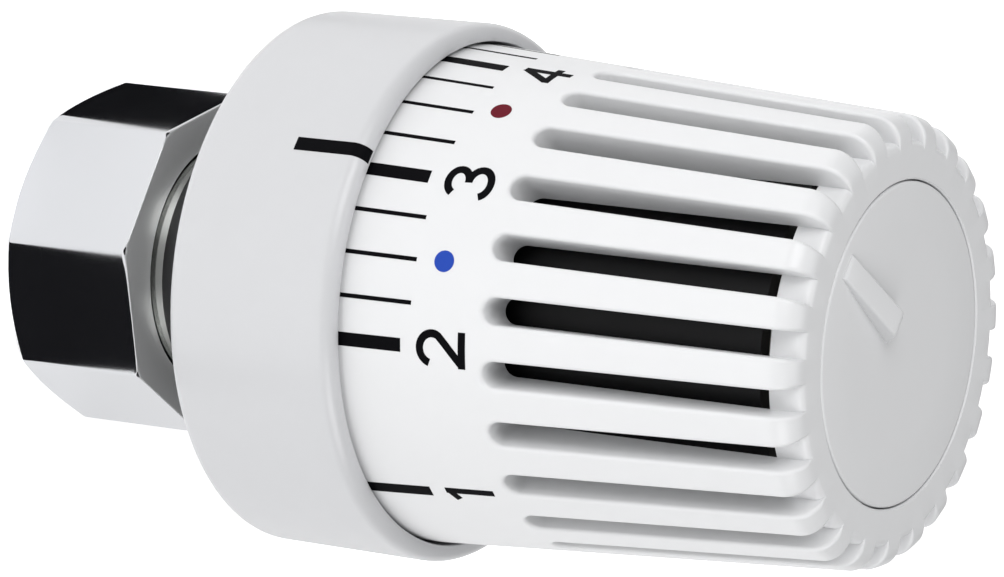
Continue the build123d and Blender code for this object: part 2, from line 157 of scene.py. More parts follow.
# ---------------------------------------------------------------- union nut
# The octagonal nut is turned and threaded from brass bar, with 32 mm across its flats and an
# M30 x 1.5 thread, then polished and chromium plated. Its rear wall turns freely on the neck.
def new_group(name, values, outputs):
    """An empty shader group with float inputs (name: default) and outputs (name: socket type)."""
    group = bpy.data.node_groups.new(name, "ShaderNodeTree")
    for key, value in values.items():
        socket = group.interface.new_socket(key, in_out="INPUT", socket_type="NodeSocketFloat")
        socket.default_value = value
    for key, kind in outputs.items():
        group.interface.new_socket(key, in_out="OUTPUT", socket_type=kind)
    return group, group.nodes.new("NodeGroupInput"), group.nodes.new("NodeGroupOutput")


def math_node(tree, operation, first, second=0.0):
    """A maths node on one or two values, each of them a socket or a number."""
    node = tree.nodes.new("ShaderNodeMath")
    node.operation = operation
    for socket, value in zip(node.inputs, (first, second)):
        if isinstance(value, bpy.types.NodeSocket):
            tree.links.new(value, socket)
        else:
            socket.default_value = value
    return node.outputs[0]


def surface_grain():
    """Fine random relief and broad soft patches, in object space: Height is noise at Fine Scale, and
    Finish is Patches x (noise at a fifteenth of that scale - 0.5)."""
    group, given, result = new_group("surface_grain", {"Fine Scale": 4000.0, "Patches": 0.1},
                                     {"Height": "NodeSocketFloat", "Finish": "NodeSocketFloat"})
    where = group.nodes.new("ShaderNodeTexCoord")
    fine = group.nodes.new("ShaderNodeTexNoise")
    fine.inputs["Detail"].default_value = 3.0
    group.links.new(where.outputs["Object"], fine.inputs["Vector"])
    group.links.new(given.outputs["Fine Scale"], fine.inputs["Scale"])
    group.links.new(fine.outputs["Fac"], result.inputs["Height"])
    broad = group.nodes.new("ShaderNodeTexNoise")
    broad.inputs["Detail"].default_value = 2.0
    group.links.new(where.outputs["Object"], broad.inputs["Vector"])
    group.links.new(math_node(group, "DIVIDE", given.outputs["Fine Scale"], 15.0), broad.inputs["Scale"])
    swing = math_node(group, "SUBTRACT", broad.outputs["Fac"], 0.5)
    group.links.new(math_node(group, "MULTIPLY", swing, given.outputs["Patches"]), result.inputs["Finish"])
    return group


def turning_rings():
    """Fine rings left by a lathe: Height is Depth x sine of Rings x (distance from the axis + height
    above the nut's open end), in object space."""
    group, given, result = new_group("turning_rings", {"Rings": 9000.0, "Depth": 1.0},
                                     {"Height": "NodeSocketFloat"})
    where = group.nodes.new("ShaderNodeTexCoord")
    split = group.nodes.new("ShaderNodeSeparateXYZ")
    group.links.new(where.outputs["Object"], split.inputs[0])
    x_squared = math_node(group, "MULTIPLY", split.outputs["X"], split.outputs["X"])
    y_squared = math_node(group, "MULTIPLY", split.outputs["Y"], split.outputs["Y"])
    across = math_node(group, "SQRT", math_node(group, "ADD", x_squared, y_squared))
    along = math_node(group, "ADD", across, split.outputs["Z"])
    wave = math_node(group, "SINE", math_node(group, "MULTIPLY", along, given.outputs["Rings"]))
    group.links.new(math_node(group, "MULTIPLY", wave, given.outputs["Depth"]), result.inputs["Height"])
    return group


grain_group = surface_grain()
rings_group = turning_rings()


def material(name, colour, roughness, metallic=0.0, grain=4000.0, relief=0.02, patches=0.06, rings=0.0,
             specular=0.5):
    """A procedural finish. Roughness is roughness + Finish. The colour darkens towards nine tenths of
    itself by 3 x Finish + 0.5, and the relief in mm is grain plus lathe rings."""
    finish = bpy.data.materials.new(name)
    finish.use_nodes = True
    tree = finish.node_tree
    shader = tree.nodes["Principled BSDF"]
    shader.inputs["Metallic"].default_value = metallic
    shader.inputs["Specular IOR Level"].default_value = specular
    texture = tree.nodes.new("ShaderNodeGroup")
    texture.node_tree = grain_group
    texture.inputs["Fine Scale"].default_value = grain
    texture.inputs["Patches"].default_value = patches
    tree.links.new(math_node(tree, "ADD", texture.outputs["Finish"], roughness), shader.inputs["Roughness"])
    tint = tree.nodes.new("ShaderNodeMix")
    tint.data_type = "RGBA"
    tint.inputs[6].default_value = (*colour, 1.0)
    tint.inputs[7].default_value = (*[0.9 * value for value in colour], 1.0)
    patch = math_node(tree, "ADD", math_node(tree, "MULTIPLY", texture.outputs["Finish"], 3.0), 0.5)
    tree.links.new(patch, tint.inputs[0])
    tree.links.new(tint.outputs[2], shader.inputs["Base Color"])
    bump = tree.nodes.new("ShaderNodeBump")
    bump.inputs["Distance"].default_value = relief * MM
    height = texture.outputs["Height"]
    if rings:
        lathe = tree.nodes.new("ShaderNodeGroup")
        lathe.node_tree = rings_group
        lathe.inputs["Depth"].default_value = rings
        height = math_node(tree, "ADD", height, lathe.outputs["Height"])
    tree.links.new(height, bump.inputs["Height"])
    tree.links.new(bump.outputs["Normal"], shader.inputs["Normal"])
    return finish


def place(radius, angle, height):
    """Points in mm from radii, angles in radians and heights, as arrays that broadcast."""
    radius, angle, height = np.broadcast_arrays(radius, angle, height)
    return np.stack([radius * np.cos(angle), radius * np.sin(angle), height], axis=-1)


def grid_cells(rows, columns, wrap_rows=False, wrap_columns=True):
    """Quads of a grid as vertex numbers, shaped (rows, columns, 4); a wrapped side closes on itself."""
    index = np.arange(rows * columns).reshape(rows, columns)
    if wrap_rows:
        index = np.concatenate([index, index[:1]])
    if wrap_columns:
        index = np.concatenate([index, index[:, :1]], axis=1)
    return np.stack([index[:-1, :-1], index[:-1, 1:], index[1:, 1:], index[1:, :-1]], axis=-1)


def solid(name, points, cells, finish, body, node=None, crease_deg=34.0):
    """An object from points in mm and quads: welded, faces outwards, shaded smooth up to a crease,
    on its body, and in the place of its CAD node."""
    mesh = bpy.data.meshes.new(name)
    mesh.from_pydata((points.reshape(-1, 3) * MM).tolist(), [], cells.reshape(-1, 4).tolist())
    welded = bmesh.new()
    welded.from_mesh(mesh)
    bmesh.ops.remove_doubles(welded, verts=welded.verts, dist=0.002 * MM)
    bmesh.ops.dissolve_degenerate(welded, edges=welded.edges, dist=0.001 * MM)
    loose = [vertex for vertex in welded.verts if not vertex.link_faces]
    bmesh.ops.delete(welded, geom=loose, context="VERTS")
    bmesh.ops.recalc_face_normals(welded, faces=welded.faces)
    welded.to_mesh(mesh)
    welded.free()
    mesh.shade_smooth()
    mesh.set_sharp_from_angle(angle=radians(crease_deg))
    mesh.materials.append(finish)
    piece = bpy.data.objects.new(name, mesh)
    bpy.context.scene.collection.objects.link(piece)
    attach(piece, body)
    if node:
        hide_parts(node)
    return piece


nut_flats = 32.0
nut_turn = radians(4.8)
nut_corner_round = 0.4
nut_edge_round = 0.16
nut_chamfer = radians(30.0)
nut_open_face = nut_flats / 2 - 0.3
nut_rear_face = nut_flats / 2 + 1.05
nut_bore = 12.15
nut_rear_rings = (nut_bore + 1.6, nut_flats / 2 - 0.4)
nut_open_break, nut_inner_break, nut_bore_break = 0.1, 0.2, 0.3
nut_web = 3.2
nut_mouth = 0.9
nut_thread = 9.55
thread_pitch = 1.5
thread_crest = 14.188
thread_root = 15.0
thread_runout = 0.3
thread_land, thread_slope = 0.2, 0.65
nut_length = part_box("union_nut")[1][2] / MM


def octagon_outline():
    """Angles and radii round a rounded octagon: each corner is an arc, each flat a straight run."""
    apothem = nut_flats / 2
    half_side = (apothem - nut_corner_round) * tan(pi / 8)
    bend = np.linspace(0, pi / 4, 6)[1:-1]
    lateral = half_side * np.array([-1, -0.99, -0.96, -0.75, -0.5, -0.25, 0, 0.25, 0.5, 0.75, 0.96, 0.99, 1])
    x = np.append(np.full_like(lateral, apothem), apothem - nut_corner_round * (1 - np.cos(bend)))
    y = np.append(lateral, half_side + nut_corner_round * np.sin(bend))
    middles = nut_turn + np.arange(8)[:, None] * pi / 4
    angle = np.arctan2(y, x) + middles
    return angle.ravel(), np.broadcast_to(np.hypot(x, y), angle.shape).ravel()


def threaded_radius(angle, height):
    """Radius of the female thread, a trapezium wave of height / pitch - angle / full turn. The crest
    takes the share thread_land of half a pitch, and the flank the share thread_slope."""
    phase = (height / thread_pitch - angle / (2 * pi)) % 1.0
    flank = np.clip((np.abs(phase - 0.5) * 2 - thread_land) / thread_slope, 0, 1)
    return thread_crest + (thread_root - thread_crest) * flank


def nut_points():
    """Rows run up the bore, over the rear face and down the flats. Where a chamfer cone meets a
    flat, the height of the edge is (radius - radius of the face) x tan(chamfer angle)."""
    angle, outline = octagon_outline()
    open_end = np.maximum(outline - nut_open_face, 0.0) * tan(nut_chamfer)
    rear_end = np.maximum(outline - nut_rear_face, 0.0) * tan(nut_chamfer)
    heights = np.linspace(0.0, nut_thread, 80)[:, None]
    bored = np.maximum(threaded_radius(angle, heights), thread_crest + nut_mouth - heights)
    web = nut_length - nut_web
    edge = nut_edge_round
    top = nut_length
    flat = 0 * angle
    rings = [(thread_root, nut_thread + thread_runout), (thread_root, web - nut_inner_break),
             (thread_root - nut_inner_break, web), (nut_bore + nut_inner_break, web),
             (nut_bore, web + nut_inner_break), (nut_bore, top - nut_bore_break),
             (nut_bore + nut_bore_break, top), (nut_rear_rings[0], top), (nut_rear_rings[1], top),
             (np.minimum(outline, nut_rear_face) - edge, top),
             (np.minimum(outline - edge * 0.5, nut_rear_face), top - rear_end * 0.5 - edge * 0.13),
             (outline - edge * 0.13, top - rear_end - edge * 0.5), (outline, top - rear_end - edge)]
    rings += [(outline, (top - rear_end - edge) * share + (open_end + edge) * (1 - share))
              for share in (0.985, 0.75, 0.5, 0.25, 0.015, 0.0)]
    rings += [(outline - edge * 0.13, open_end + edge * 0.45), (outline - edge * 0.5, open_end + edge * 0.05),
              (nut_open_face + (outline - edge - nut_open_face) * 0.5, open_end * 0.5),
              (nut_open_face + nut_open_break, nut_open_break / 2), (nut_open_face - nut_open_break, 0.0)]
    outside = np.stack([place(radius + flat, angle, height + flat) for radius, height in rings])
    return np.concatenate([place(bored, angle, heights), outside])


chrome = material("chrome", (0.80, 0.81, 0.83), 0.06, metallic=1.0, grain=2500.0, relief=0.0006, patches=0.03)
turned_chrome = material("turned_chrome", (0.80, 0.81, 0.82), 0.42, metallic=0.4, relief=0.002, rings=0.4)
nut_grid = nut_points()
nut_cells = grid_cells(*nut_grid.shape[:2], wrap_rows=True)
nut = solid("nut_polished", nut_grid, nut_cells, chrome, "nut", "union_nut", crease_deg=24.0)
flatten = nut.modifiers.new("flat faces", "WEIGHTED_NORMAL")
flatten.keep_sharp = True
# the rear face keeps its turned finish under the plating
nut.data.materials.append(turned_chrome)
nut_middles = np.empty(len(nut.data.polygons) * 3)
nut.data.polygons.foreach_get("center", nut_middles)
behind = nut_middles.reshape(-1, 3)[:, 2] > (nut_length - 0.1) * MM
nut.data.polygons.foreach_set("material_index", behind.astype(np.int32))


# ---------------------------------------------------------------- washer, neck and base
# The neck is a nickel-plated brass bush that the nut pulls on to the valve, with a thin washer
# behind its flange. It is moulded into the plastic base, which holds the pin's brass guide. The
# base is coloured black as painted shade, for the shaded gap between the nut and the collar.
def dress(node, finish):
    """Gives a CAD piece its finish."""
    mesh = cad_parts[node].data
    mesh.materials.clear()
    mesh.materials.append(finish)


def arc(middle, radius, start_deg, end_deg, steps=6):
    """Points (radius, height) along an arc in the half section."""
    sweep = np.radians(np.linspace(start_deg, end_deg, steps))
    return np.stack([middle[0] + radius * np.cos(sweep), middle[1] + radius * np.sin(sweep)], axis=-1)


def lathe_points(section, columns=192):
    """A half section, an array of (radius, height), carried round the axis in even steps."""
    section = np.concatenate([np.atleast_2d(part) for part in section])
    angle = np.arange(columns) * 2 * pi / columns
    return place(section[:, :1], angle, section[:, 1:])


natural = material("natural_plastic", (0.72, 0.70, 0.62), 0.42, relief=0.01)
nickel = material("nickel", (0.72, 0.73, 0.70), 0.24, metallic=1.0, relief=0.0015, rings=0.4)
# black for the cage and the stop rings, and on the base as painted shade for the gap behind the nut
black = material("black_plastic", (0.006, 0.006, 0.007), 0.5, grain=3000.0, relief=0.012, specular=0.25)
brass = material("brass", (0.80, 0.58, 0.26), 0.26, metallic=1.0, relief=0.0015, rings=0.4)
dress("nut_washer", natural)
# the base's black is painted shade: it stands in for the shaded gap between the nut and the collar
dress("base_body", black)
dress("guide_bush", brass)

neck_low, neck_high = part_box("neck_bush")
neck_r, neck_bore, neck_throat = 12.0, 8.0, 5.2
neck_flange_r, neck_flange, neck_bore_length = 13.9, 1.7, 12.0
neck_break = 0.2
neck_seat, neck_top = neck_low[2] / MM, neck_high[2] / MM
neck_grid = lathe_points([
    arc((neck_bore + neck_break, neck_seat + neck_break), neck_break, 180, 270),
    arc((neck_flange_r - neck_break, neck_seat + neck_break), neck_break, -90, 0),
    arc((neck_flange_r - neck_break, neck_seat + neck_flange - neck_break), neck_break, 0, 90),
    (neck_r, neck_seat + neck_flange),
    (neck_r, neck_top),
    (neck_throat, neck_top),
    (neck_throat, neck_seat + neck_bore_length),
    (neck_bore, neck_seat + neck_bore_length),
])
solid("neck_turned", neck_grid, grid_cells(*neck_grid.shape[:2], wrap_rows=True), nickel, "base",
      "neck_bush")


# ---------------------------------------------------------------- collar
# The fixed collar is a white injection moulding that snaps over the base's flange. Its rim is
# rounded over to the knob, and a printed black index mark runs over it.
collar_bore, collar_back_r, collar_rim_r = 25.1, 26.68, 26.84
collar_lip, collar_lip_height = 0.9, 0.8
collar_rim_round, collar_back_round = 1.52, 1.3
collar_lip_break, rim_bore_break, rim_fall = 0.2, 0.12, 0.02
collar_back, collar_rim = (corner[2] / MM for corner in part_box("collar"))
# painted shade: the collar is the knob's white plastic, given a greyer colour for the shade it lies in
shaded_white = material("white_plastic_shaded", (0.59, 0.595, 0.61), 0.30, grain=5000.0, relief=0.004, patches=0.05)

rim_z = collar_rim - collar_rim_round
rim_arc = arc((collar_rim_r - collar_rim_round, rim_z), collar_rim_round, 0, 84, 13)
side_foot = np.array([collar_back_r, collar_back + collar_back_round])
side_head = np.array([collar_rim_r, rim_z])
lip_middle = (collar_bore - collar_lip + collar_lip_break, collar_back + collar_lip_break)
collar_grid = lathe_points([
    arc(lip_middle, collar_lip_break, 180, 270),
    arc((collar_back_r - collar_back_round, side_foot[1]), collar_back_round, -90, 0, 9),
    side_foot + (side_head - side_foot) * np.array([[0.25], [0.5], [0.75]]),
    rim_arc,
    arc((collar_bore + rim_bore_break, collar_rim - rim_bore_break - rim_fall), rim_bore_break, 90, 180),
    (collar_bore, collar_back + collar_lip_height),
    (collar_bore - collar_lip, collar_back + collar_lip_height),
])
solid("collar_moulded", collar_grid, grid_cells(*collar_grid.shape[:2], wrap_rows=True), shaded_white,
      "base", "collar")


ink_lift, ink_sunk = 0.02, 0.1


def ink_layer(rows, columns):
    """Heights in mm of a printed grid over its surface: ink_lift inside, and its border sunk under."""
    layer = np.full((rows, columns), ink_lift)
    layer[:, [0, -1]] = -ink_sunk
    layer[[0, -1]] = -ink_sunk
    return layer


def inked(name, strips, finish, body):
    """Printed marks as one object. Each strip is a grid of points that stand just proud of a
    surface, and its border dips under it, so that the ink has an edge."""
    points = np.concatenate([strip.reshape(-1, 3) for strip in strips])
    starts = np.cumsum([0] + [strip.shape[0] * strip.shape[1] for strip in strips[:-1]])
    cells = [grid_cells(*strip.shape[:2], wrap_columns=False).reshape(-1, 4) + start
             for strip, start in zip(strips, starts)]
    return solid(name, points, np.concatenate(cells), finish, body)


def strip_of(curve, centre_angle, width, columns=5):
    """A printed band along a (radius, height) curve, width mm wide about one angle."""
    curve = np.asarray(curve, dtype=float)
    tangent = np.gradient(curve, axis=0)
    normal = np.stack([tangent[:, 1], -tangent[:, 0]], axis=-1)
    normal /= np.linalg.norm(normal, axis=1, keepdims=True)
    curve = np.concatenate([curve[:1], curve, curve[-1:]])
    normal = np.concatenate([normal[:1], normal, normal[-1:]])
    across = np.concatenate([[-0.5], np.linspace(-0.5, 0.5, columns), [0.5]]) * width
    lift = ink_layer(len(curve), len(across))
    radius = curve[:, :1] + normal[:, :1] * lift
    return place(radius, centre_angle + across / curve[:, :1], curve[:, 1:] + normal[:, 1:] * lift)


ink_black = material("ink_black", (0.002, 0.002, 0.003), 0.6, relief=0.003, specular=0.05)
index_angle = radians(-90.0)
index_width = 1.45
index_start = collar_rim - 7.9
index_z = np.array([index_start, (index_start + rim_z) / 2])
index_share = (index_z - collar_back) / (collar_rim - collar_back)
index_r = collar_back_r + (collar_rim_r - collar_back_r) * index_share
index_curve = np.concatenate([np.stack([index_r, index_z], axis=-1), rim_arc])
inked("index_mark", [strip_of(index_curve, index_angle, index_width)], ink_black,
      "base")


# ---------------------------------------------------------------- sensor, cage, push rod and stops
# Inside the knob a black cage carries the aluminium sensor, its brass bellows, the overtravel
# spring and the steel pin. They are pressed, turned or moulded pieces, and show only through slots.
grey = material("grey_plastic", (0.30, 0.31, 0.32), 0.40, relief=0.01)
aluminium = material("aluminium", (0.78, 0.79, 0.80), 0.30, metallic=1.0, relief=0.002, rings=0.5)
steel = material("steel", (0.56, 0.57, 0.58), 0.25, metallic=1.0, relief=0.0015, rings=0.25)
for finish, nodes in (
        (black, ("stop_ring_low", "stop_ring_high", "sensor_cage")),
        (grey, ("thread_ring", "disc_retainer")),
        (natural, ("thrust_ring", "pin_tip")),
        (aluminium, ("sensor_can", "sensor_plate")),
        (brass, ("fill_plug",)),
        (steel, ("cage_clip", "spring_seat", "pressure_pin"))):
    for node in nodes:
        dress(node, finish)

spring_wire_r, spring_r, spring_turns = 0.7, 12.6, 3.4
spring_foot, spring_head = (corner[2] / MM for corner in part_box("overtravel_spring"))
spring_foot, spring_head = spring_foot + spring_wire_r, spring_head - spring_wire_r
spring_along = np.linspace(0, 1, 205)[:, None]
wire_turn = np.arange(12) * pi / 6
wire_r = spring_r + spring_wire_r * np.cos(wire_turn)
wire_z = spring_foot + (spring_head - spring_foot) * spring_along + spring_wire_r * np.sin(wire_turn)
# the first and last rings shrink to a point, which closes the wire's ends
wire_r = np.repeat(wire_r[None], len(spring_along), 0)
wire_r[[0, -1]] = spring_r
wire_z[0], wire_z[-1] = spring_foot, spring_head
spring_grid = place(wire_r, 2 * pi * spring_turns * np.clip(spring_along, 0.001, 0.999), wire_z)
spring = solid("spring_coiled", spring_grid, grid_cells(*spring_grid.shape[:2]), steel, "carriage",
               "overtravel_spring")
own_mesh(spring)

rod_r, rod_break = 2.0, 0.8
rod_foot, rod_head = (corner[2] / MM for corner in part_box("piston_rod"))
rod_head -= rod_break
rod_grid = lathe_points([
    [(0.0005, rod_foot), (rod_r, rod_foot)],
    arc((rod_r - rod_break, rod_head - rod_break), rod_break, 0, 90),
    [(0.0005, rod_head)],
], columns=48)
solid("rod_domed", rod_grid, grid_cells(*rod_grid.shape[:2]), steel, "pin", "piston_rod")

bellows_foot, bellows_top = (corner[2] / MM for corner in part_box("bellows"))
bellows_wall, bellows_folds = 0.5, 6
bellows_inner, bellows_outer = 7.6, 10.4
fold_z = np.linspace(bellows_foot, bellows_top - bellows_wall, 12 * bellows_folds + 1)
# the wall waves between its two radii, and its foot and its head are at the large one
fold_share = (1 + np.cos(2 * pi * bellows_folds * (fold_z - bellows_foot) / (fold_z[-1] - bellows_foot))) / 2
fold_r = bellows_inner + (bellows_outer - bellows_inner) * fold_share
bellows_grid = lathe_points([
    np.stack([fold_r, fold_z], axis=-1),
    [(bellows_outer, bellows_top), (0.0005, bellows_top), (0.0005, bellows_top - bellows_wall)],
    np.stack([fold_r - bellows_wall, fold_z], axis=-1)[::-1],
], columns=96)
solid("bellows_formed", bellows_grid, grid_cells(*bellows_grid.shape[:2], wrap_rows=True), brass,
      "sensor", "bellows")


# ---------------------------------------------------------------- knob
# The knob is one white injection moulding: a smooth skirt that carries the scale, then 24 ribs
# with open slots between them, joined at the end by a plate with a recess for the memory disc.
white = material("white_plastic", (0.735, 0.74, 0.75), 0.34, grain=5000.0, relief=0.004, patches=0.05)
slots = 24
pitch = 2 * pi / slots
slot_phase = radians(1.1)
slot_half = 1.3
slot_round = 0.38
knob_low, knob_top = (corner[2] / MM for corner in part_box("knob_shell"))
slot_tip = collar_rim + 15.15
slot_middle = slot_tip + slot_half
knob_r, knob_shoulder_r, shoulder_z = 24.77, 22.05, knob_top - 2.7
knob_slope = (knob_r - knob_shoulder_r) / (shoulder_z - collar_rim)
rib_bore, skirt_bore = 19.5, 22.77
step_high = slot_tip - 1.2
step_low = step_high - 1.3
shoulder_round = 2.6
plate_under, plate_edge = knob_top - 3.5, 0.85
recess_r, recess_z, recess_edge, stem_hole_r = 15.85, knob_top - 1.8, 0.15, 2.15
knob_low_round, skirt_bore_break = 0.3, 0.2


def knob_radius(height):
    """Radius of the knob's outside: a cylinder inside the collar, then a slight cone."""
    return knob_r - knob_slope * np.maximum(np.asarray(height, dtype=float) - collar_rim, 0.0)


def between(first, last, share):
    """Straight blend of two arrays, with the shares along a new axis 1."""
    first, last = np.asarray(first, dtype=float)[:, None], np.asarray(last, dtype=float)[:, None]
    return first + (last - first) * np.asarray(share)[None, :]


def sheet(first, second, third):
    """A grid of triples from three arrays that broadcast to its rows and columns."""
    return np.stack(np.broadcast_arrays(first, second, third), axis=-1)


bend_rows, corner_row = 12, 6
straight_rows, round_rows = 9, 12
turn_in = np.linspace(0, pi / 2, bend_rows + 1)
rib_shares = np.linspace(0, 1, 8)
fillet_turn = np.linspace(0, pi / 2, 5)
floor_shares = np.linspace(0, 1, 4)
wall_shares = np.linspace(0, 1, 4)
# the square frame round a slot's round end: out along its foot, then up the middle of the rib
frame_angle = pitch / 2 * np.minimum(np.arange(bend_rows + 1) / corner_row, 1.0)
frame_rise = np.maximum(np.arange(bend_rows + 1) - corner_row, 0) / (bend_rows - corner_row)


def round_end(radius_at, inset_start, low):
    """Surface round the slot's end as (radius, angle, height): rows are lines from the slot's edge,
    at the arc's radius and turn, to the square frame whose foot is at the height low."""
    side = inset_start * np.sin(turn_in)
    height = slot_middle - inset_start * np.cos(turn_in)
    angle = np.arcsin(side / radius_at(height))
    heights = between(height, low + (slot_middle - low) * frame_rise, rib_shares)
    angles = between(angle, frame_angle, rib_shares)
    return sheet(radius_at(heights), angles, heights)


def half_slot():
    """Half of one slot and rib as grids of (radius, angle, height), from the slot's middle to the
    rib's. Along the slot the rib's crest line and the floor's line share one parameter."""
    straight = np.linspace(slot_middle, plate_under, straight_rows)
    round_middle = (knob_radius(shoulder_z) - shoulder_round, knob_top - shoulder_round)
    round_turn = np.linspace(0, pi / 2, round_rows)
    over_r = round_middle[0] + shoulder_round * np.cos(round_turn)
    over_z = round_middle[1] + shoulder_round * np.sin(round_turn)
    inner_rim = [rib_bore - plate_edge * 0.6, rib_bore - plate_edge]
    crest_r = np.concatenate([knob_radius(straight), over_r, inner_rim])
    crest_z = np.concatenate([straight, over_z, [knob_top, knob_top]])
    normal_r = np.concatenate([np.ones(straight_rows), np.cos(round_turn), [0.0, 0.0]])
    normal_z = np.concatenate([np.full(straight_rows, knob_slope), np.sin(round_turn), [1.0, 1.0]])
    edge_turn = np.linspace(0, pi / 2, 7)
    climb_rows = len(crest_r) - straight_rows - len(edge_turn) + 2
    climb = np.linspace(plate_under, knob_top - plate_edge, climb_rows)[1:]
    floor_r = np.concatenate([np.full(straight_rows + len(climb) - 1, rib_bore),
                              rib_bore - plate_edge * (1 - np.cos(edge_turn))])
    floor_z = np.concatenate([straight, climb[:-1], knob_top - plate_edge + plate_edge * np.sin(edge_turn)])
    # the fillet along the slot's edge takes less than half of the wall where the wall runs out
    gap = np.hypot(crest_r - floor_r, crest_z - floor_z)
    soft = np.minimum(slot_round, gap * 0.45)
    # fillet from the wall to the rib's outside, then the rib itself
    side = slot_half + soft[:, None] * (1 - np.cos(fillet_turn))
    depth = soft[:, None] * (1 - np.sin(fillet_turn))
    fillet_r = crest_r[:, None] - normal_r[:, None] * depth
    fillet_z = crest_z[:, None] - normal_z[:, None] * depth
    wall_r = between(floor_r, fillet_r[:, 0], wall_shares)
    wall_z = between(floor_z, fillet_z[:, 0], wall_shares)
    edge_angle = np.arcsin((slot_half + soft) / crest_r)
    rib_angle = between(edge_angle, edge_angle * 0 + pitch / 2, rib_shares)
    rib = sheet(crest_r[:, None], rib_angle, crest_z[:, None])
    wall = sheet(wall_r, np.arcsin(slot_half / wall_r), wall_z)
    fillet = sheet(fillet_r, np.arcsin(side / fillet_r), fillet_z)
    open_r, open_z = floor_r[straight_rows - 1:, None], floor_z[straight_rows - 1:, None]
    floor = sheet(open_r, np.arcsin(slot_half * floor_shares / open_r), open_z)
    # the round end: wall and fillet turn about the arc's centre
    reach = slot_half + slot_round * (1 - np.cos(fillet_turn))
    drop = slot_round * (1 - np.sin(fillet_turn))
    end_z = slot_middle - reach * np.cos(turn_in)[:, None]
    end_r = knob_radius(end_z) - drop
    end_fillet = sheet(end_r, np.arcsin(reach * np.sin(turn_in)[:, None] / end_r), end_z)
    foot_z = slot_middle - slot_half * np.cos(turn_in)
    end_wall_r = between(np.full_like(foot_z, rib_bore), end_r[:, 0], wall_shares)
    end_wall_angle = np.arcsin(slot_half * np.sin(turn_in)[:, None] / end_wall_r)
    end_wall = sheet(end_wall_r, end_wall_angle, foot_z[:, None])
    outer_end = round_end(knob_radius, slot_half + slot_round, step_high)
    inner_end = round_end(lambda height: np.full_like(height, rib_bore), slot_half, step_high)
    inner_edge = np.full(straight_rows, np.arcsin(slot_half / rib_bore))
    inner = sheet(rib_bore, between(inner_edge, inner_edge * 0 + pitch / 2, rib_shares), straight[:, None])
    # the end plate's face, the recess, the stem's hole and the plate's underside, on the same columns
    top_angle = np.concatenate([floor[-1, :, 1], rib[-1, 1:, 1]])
    under_angle = np.concatenate([floor[0, :, 1], inner[-1, 1:, 1]])
    face = np.array([(rib_bore - plate_edge, knob_top), (recess_r + recess_edge, knob_top),
                     (recess_r, knob_top - recess_edge), (recess_r, recess_z), (stem_hole_r, recess_z),
                     (stem_hole_r, plate_under), (rib_bore, plate_under)])
    weights = np.linspace(0, 1, len(face))[:, None]
    plate = sheet(face[:, :1], top_angle + (under_angle - top_angle) * weights, face[:, 1:])
    # the skirt, from the slots' foot down the outside and up the bore
    round_z = knob_low + knob_low_round
    skirt_z = np.append(np.linspace(step_high, collar_rim, 7), [collar_rim - 3.0, round_z])
    down = np.concatenate([
        np.stack([knob_radius(skirt_z), skirt_z], axis=-1),
        arc((knob_r - knob_low_round, round_z), knob_low_round, -20, -90, 4),
        [[skirt_bore + skirt_bore_break, knob_low], [skirt_bore, knob_low + skirt_bore_break],
         [skirt_bore, step_low], [rib_bore, step_high]],
    ])
    skirt = sheet(down[:, :1], frame_angle[:corner_row + 1], down[:, 1:])
    return [rib, wall, fillet, floor, end_fillet, end_wall, outer_end, inner_end, inner, plate, skirt]


def all_round(grids):
    """The half slot's grids mirrored and repeated round the knob, as points and quads."""
    points, cells, count = [], [], 0
    turns = slot_phase + np.arange(slots) * pitch
    for grid in grids:
        quads = grid_cells(*grid.shape[:2], wrap_columns=False).reshape(-1, 4)
        for side in (1, -1):
            copies = place(grid[None, :, :, 0], side * grid[None, :, :, 1] + turns[:, None, None],
                           grid[None, :, :, 2])
            size = grid.shape[0] * grid.shape[1]
            cells.append((quads[None] + (np.arange(slots) * size + count)[:, None, None]).reshape(-1, 4))
            points.append(copies.reshape(-1, 3))
            count += slots * size
    return np.concatenate(points), np.concatenate(cells)


knob_points, knob_cells = all_round(half_slot())
solid("knob_moulded", knob_points, knob_cells, white, "knob", "knob_shell", crease_deg=40.0)


# ---------------------------------------------------------------- scale print
# The scale is printed on the knob's skirt in black, with one red and one blue setting dot. The
# numerals' tops are towards the nut, and the numbers rise clockwise, seen from the knob's end.
numeral_height, numeral_width, numeral_stroke = 5.3, 3.7, 0.78
numeral_middle = collar_rim + 10.85
scale_low, bar_top, tick_top = collar_rim - 2.6, collar_rim + 6.5, collar_rim + 7.5
bar_width, tick_width = 1.35, 0.42
number_step = 39.3
three_deg, frost_deg, zero_deg = -88.2, 40.0, 100.0
frost_stroke, dot_size = 0.5, 2.1


def number_angle(number):
    """Direction of a number's bar on the knob, in degrees."""
    return three_deg - (number - 3) * number_step


def skirt_curve(low, high, steps=9):
    """Line up the knob's skirt as (radius, height)."""
    height = np.linspace(low, high, steps)
    return np.stack([knob_radius(height), height], axis=-1)


def stroke(centre_angle, path, width=numeral_stroke):
    """A pen stroke along a path of (right, up) points in mm, laid on the skirt. The top of a
    numeral is towards the nut, so up is down in height, and right is clockwise from the end."""
    path = np.asarray(path, dtype=float)
    tangent = np.gradient(path, axis=0)
    tangent /= np.linalg.norm(tangent, axis=1, keepdims=True)
    normal = np.stack([-tangent[:, 1], tangent[:, 0]], axis=-1)
    path = np.concatenate([path[:1], path, path[-1:]])
    normal = np.concatenate([normal[:1], normal, normal[-1:]])
    across = np.array([-0.5, -0.5, 0.0, 0.5, 0.5]) * width
    flat = path[:, None] + normal[:, None] * across[:, None]
    lift = ink_layer(*flat.shape[:2])
    height = numeral_middle - flat[..., 1]
    radius = knob_radius(height)
    return place(radius + lift, centre_angle - flat[..., 0] / radius, height)


